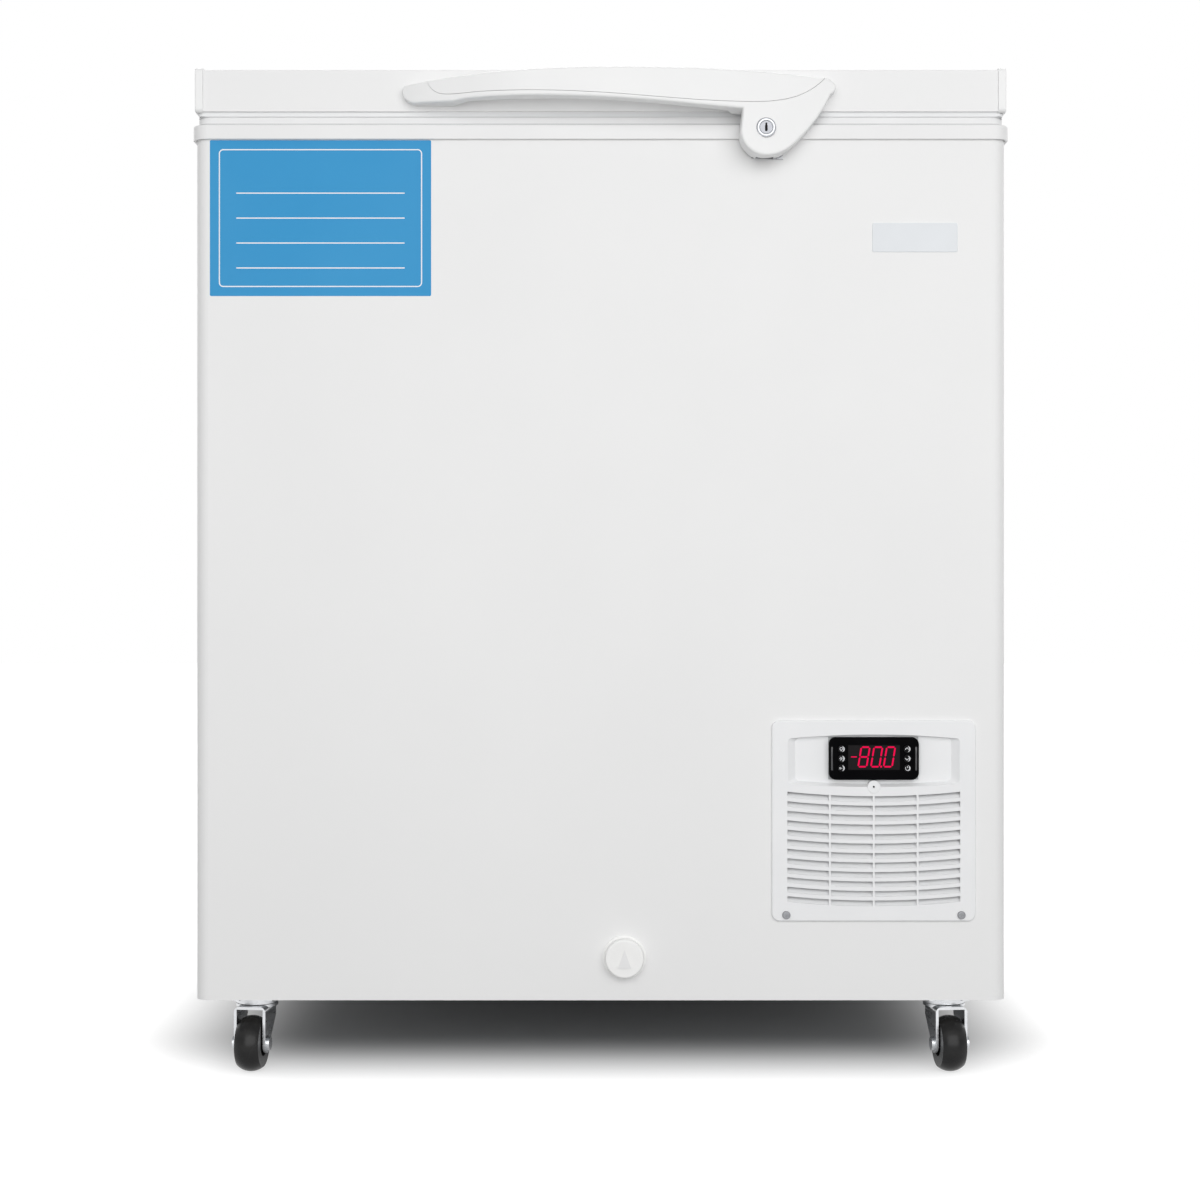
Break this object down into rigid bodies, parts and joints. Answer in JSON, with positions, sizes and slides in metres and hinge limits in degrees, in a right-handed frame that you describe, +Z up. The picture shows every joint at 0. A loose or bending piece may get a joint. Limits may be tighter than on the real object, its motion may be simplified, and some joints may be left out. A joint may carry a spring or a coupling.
{
  "type": "chest ultra low temperature freezer",
  "caption": "Top-opening chest freezer for ultra low temperatures: insulated cabinet on swivel casters, hinged lid with lockable bow handle, louvre panel with temperature controller.",
  "frame": {"origin": "on the floor under the middle of the overall box", "axes": "+X to the right of someone facing the front, +Y towards the back, +Z up"},
  "size_m": [0.728, 0.7442, 0.8999],
  "materials": {
    "white_enamel": "satin white powder coat",
    "white_plastic": "satin moulded plastic",
    "grille_plastic": "satin moulded plastic",
    "liner_steel": "satin coated steel",
    "galvanised": "galvanised sheet",
    "foam": null,
    "copper": "drawn copper",
    "black_enamel": "black enamel",
    "black_plastic": "matte black plastic",
    "black_gloss": "gloss black plastic",
    "window_tint": "dark tinted acrylic",
    "grey_rubber": "pale flexible seal",
    "black_rubber": "matte rubber",
    "tyre_black": "hard rubber tread",
    "zinc": "bright zinc plated steel",
    "chrome": "polished",
    "knob_plastic": "satin moulded plastic",
    "condenser_fin": "rolled aluminium"
  },
  "bodies": {
    "cabinet": {"outer_wrap": "white_enamel", "back_panel": "white_enamel", "bottom_pan": "galvanised", "top_collar": "white_plastic", "inner_liner": "liner_steel", "cabinet_foam": "foam", "evaporator_tube": "copper", "machine_bulkhead": "galvanised", "compressor": "black_enamel", "compressor_grommets": "black_rubber", "compressor_terminal_cover": "black_plastic", "condenser": "condenser_fin", "fan_shroud": "galvanised", "fan_motor": "galvanised", "filter_drier": "copper", "refrigerant_pipes": "copper", "power_gland": "black_plastic", "drain_pipe": "knob_plastic", "control_grille": "grille_plastic", "front_screws": "zinc", "controller_case": "black_plastic", "controller_seal": "grey_rubber", "controller_bezel": "black_gloss", "display_window": "window_tint", "strike_plate": "zinc", "hinge_fixed_leaves": "zinc", "hinge_pins": "zinc", "caster_plates": "zinc", "caster_bolts": "zinc"},
    "lid": {"lid_skin": "white_enamel", "lid_end_caps": "white_plastic", "lid_foam": "foam", "lid_liner": "white_plastic", "lid_gasket": "grey_rubber", "handle_base": "white_plastic", "handle_cover": "white_plastic", "handle_screws": "zinc", "lock_barrel": "chrome", "hinge_moving_leaves": "zinc"},
    "lock_core": {"lock_plug": "chrome", "lock_cam": "zinc"},
    "fan_rotor": {"fan_blade": "black_plastic"},
    "key_light_cap": {"key_light": "black_gloss"},
    "key_defrost_cap": {"key_defrost": "black_gloss"},
    "key_set_cap": {"key_set": "black_gloss"},
    "key_up_cap": {"key_up": "black_gloss"},
    "key_down_cap": {"key_down": "black_gloss"},
    "key_power_cap": {"key_power": "black_gloss"},
    "drain_slide": {"drain_stem": "knob_plastic"},
    "drain_knob": {"drain_dial": "knob_plastic"},
    "swivel_fl": {"caster_fork_fl": "zinc"},
    "wheel_fl": {"caster_wheel_fl": "tyre_black"},
    "swivel_fr": {"caster_fork_fr": "zinc"},
    "wheel_fr": {"caster_wheel_fr": "tyre_black"},
    "swivel_rl": {"caster_fork_rl": "zinc"},
    "wheel_rl": {"caster_wheel_rl": "tyre_black"},
    "swivel_rr": {"caster_fork_rr": "zinc"},
    "wheel_rr": {"caster_wheel_rr": "tyre_black"}
  },
  "joints": [
    {"name": "lid_hinge", "type": "hinge", "parent": "cabinet", "child": "lid", "pos_m": [0, 0.3655, 0.8593], "axis": [-1, 0, 0], "range_deg": [0, 85]},
    {"name": "lock_turn", "type": "hinge", "parent": "lid", "child": "lock_core", "pos_m": [0.1452, -0.354, 0.841], "axis": [0, 1, 0], "range_deg": [0, 90]},
    {"name": "fan_spin", "type": "hinge", "parent": "cabinet", "child": "fan_rotor", "pos_m": [0.243, -0.215, 0.16], "axis": [0, 1, 0], "continuous": true},
    {"name": "press_light", "type": "slide", "parent": "cabinet", "child": "key_light_cap", "axis": [0, 1, 0], "range_m": [0, 0.0006], "stiffness_N_per_m": 1200, "springref_m": -0.0003},
    {"name": "press_defrost", "type": "slide", "parent": "cabinet", "child": "key_defrost_cap", "axis": [0, 1, 0], "range_m": [0, 0.0006], "stiffness_N_per_m": 1200, "springref_m": -0.0003},
    {"name": "press_set", "type": "slide", "parent": "cabinet", "child": "key_set_cap", "axis": [0, 1, 0], "range_m": [0, 0.0006], "stiffness_N_per_m": 1200, "springref_m": -0.0003},
    {"name": "press_up", "type": "slide", "parent": "cabinet", "child": "key_up_cap", "axis": [0, 1, 0], "range_m": [0, 0.0006], "stiffness_N_per_m": 1200, "springref_m": -0.0003},
    {"name": "press_down", "type": "slide", "parent": "cabinet", "child": "key_down_cap", "axis": [0, 1, 0], "range_m": [0, 0.0006], "stiffness_N_per_m": 1200, "springref_m": -0.0003},
    {"name": "press_power", "type": "slide", "parent": "cabinet", "child": "key_power_cap", "axis": [0, 1, 0], "range_m": [0, 0.0006], "stiffness_N_per_m": 1200, "springref_m": -0.0003},
    {"name": "drain_pull", "type": "slide", "parent": "cabinet", "child": "drain_slide", "axis": [0, -1, 0], "range_m": [0, 0.012]},
    {"name": "drain_turn", "type": "hinge", "parent": "drain_slide", "child": "drain_knob", "pos_m": [0.0212, -0.334, 0.1085], "axis": [0, -1, 0], "range_deg": [0, 180]},
    {"name": "swivel_turn_fl", "type": "hinge", "parent": "cabinet", "child": "swivel_fl", "pos_m": [-0.3135, -0.284, 0.06], "axis": [0, 0, 1], "continuous": true},
    {"name": "wheel_roll_fl", "type": "hinge", "parent": "swivel_fl", "child": "wheel_fl", "pos_m": [-0.31538, -0.3019, 0.025], "axis": [0.9945, -0.1045, 0], "continuous": true},
    {"name": "swivel_turn_fr", "type": "hinge", "parent": "cabinet", "child": "swivel_fr", "pos_m": [0.3135, -0.284, 0.06], "axis": [0, 0, 1], "continuous": true},
    {"name": "wheel_roll_fr", "type": "hinge", "parent": "swivel_fr", "child": "wheel_fr", "pos_m": [0.31538, -0.3019, 0.025], "axis": [0.9945, 0.1045, 0], "continuous": true},
    {"name": "swivel_turn_rl", "type": "hinge", "parent": "cabinet", "child": "swivel_rl", "pos_m": [-0.3135, 0.306, 0.06], "axis": [0, 0, 1], "continuous": true},
    {"name": "wheel_roll_rl", "type": "hinge", "parent": "swivel_rl", "child": "wheel_rl", "pos_m": [-0.31538, 0.2881, 0.025], "axis": [0.9945, -0.1045, 0], "continuous": true},
    {"name": "swivel_turn_rr", "type": "hinge", "parent": "cabinet", "child": "swivel_rr", "pos_m": [0.3135, 0.306, 0.06], "axis": [0, 0, 1], "continuous": true},
    {"name": "wheel_roll_rr", "type": "hinge", "parent": "swivel_rr", "child": "wheel_rr", "pos_m": [0.31538, 0.2881, 0.025], "axis": [0.9945, 0.1045, 0], "continuous": true}
  ]
}
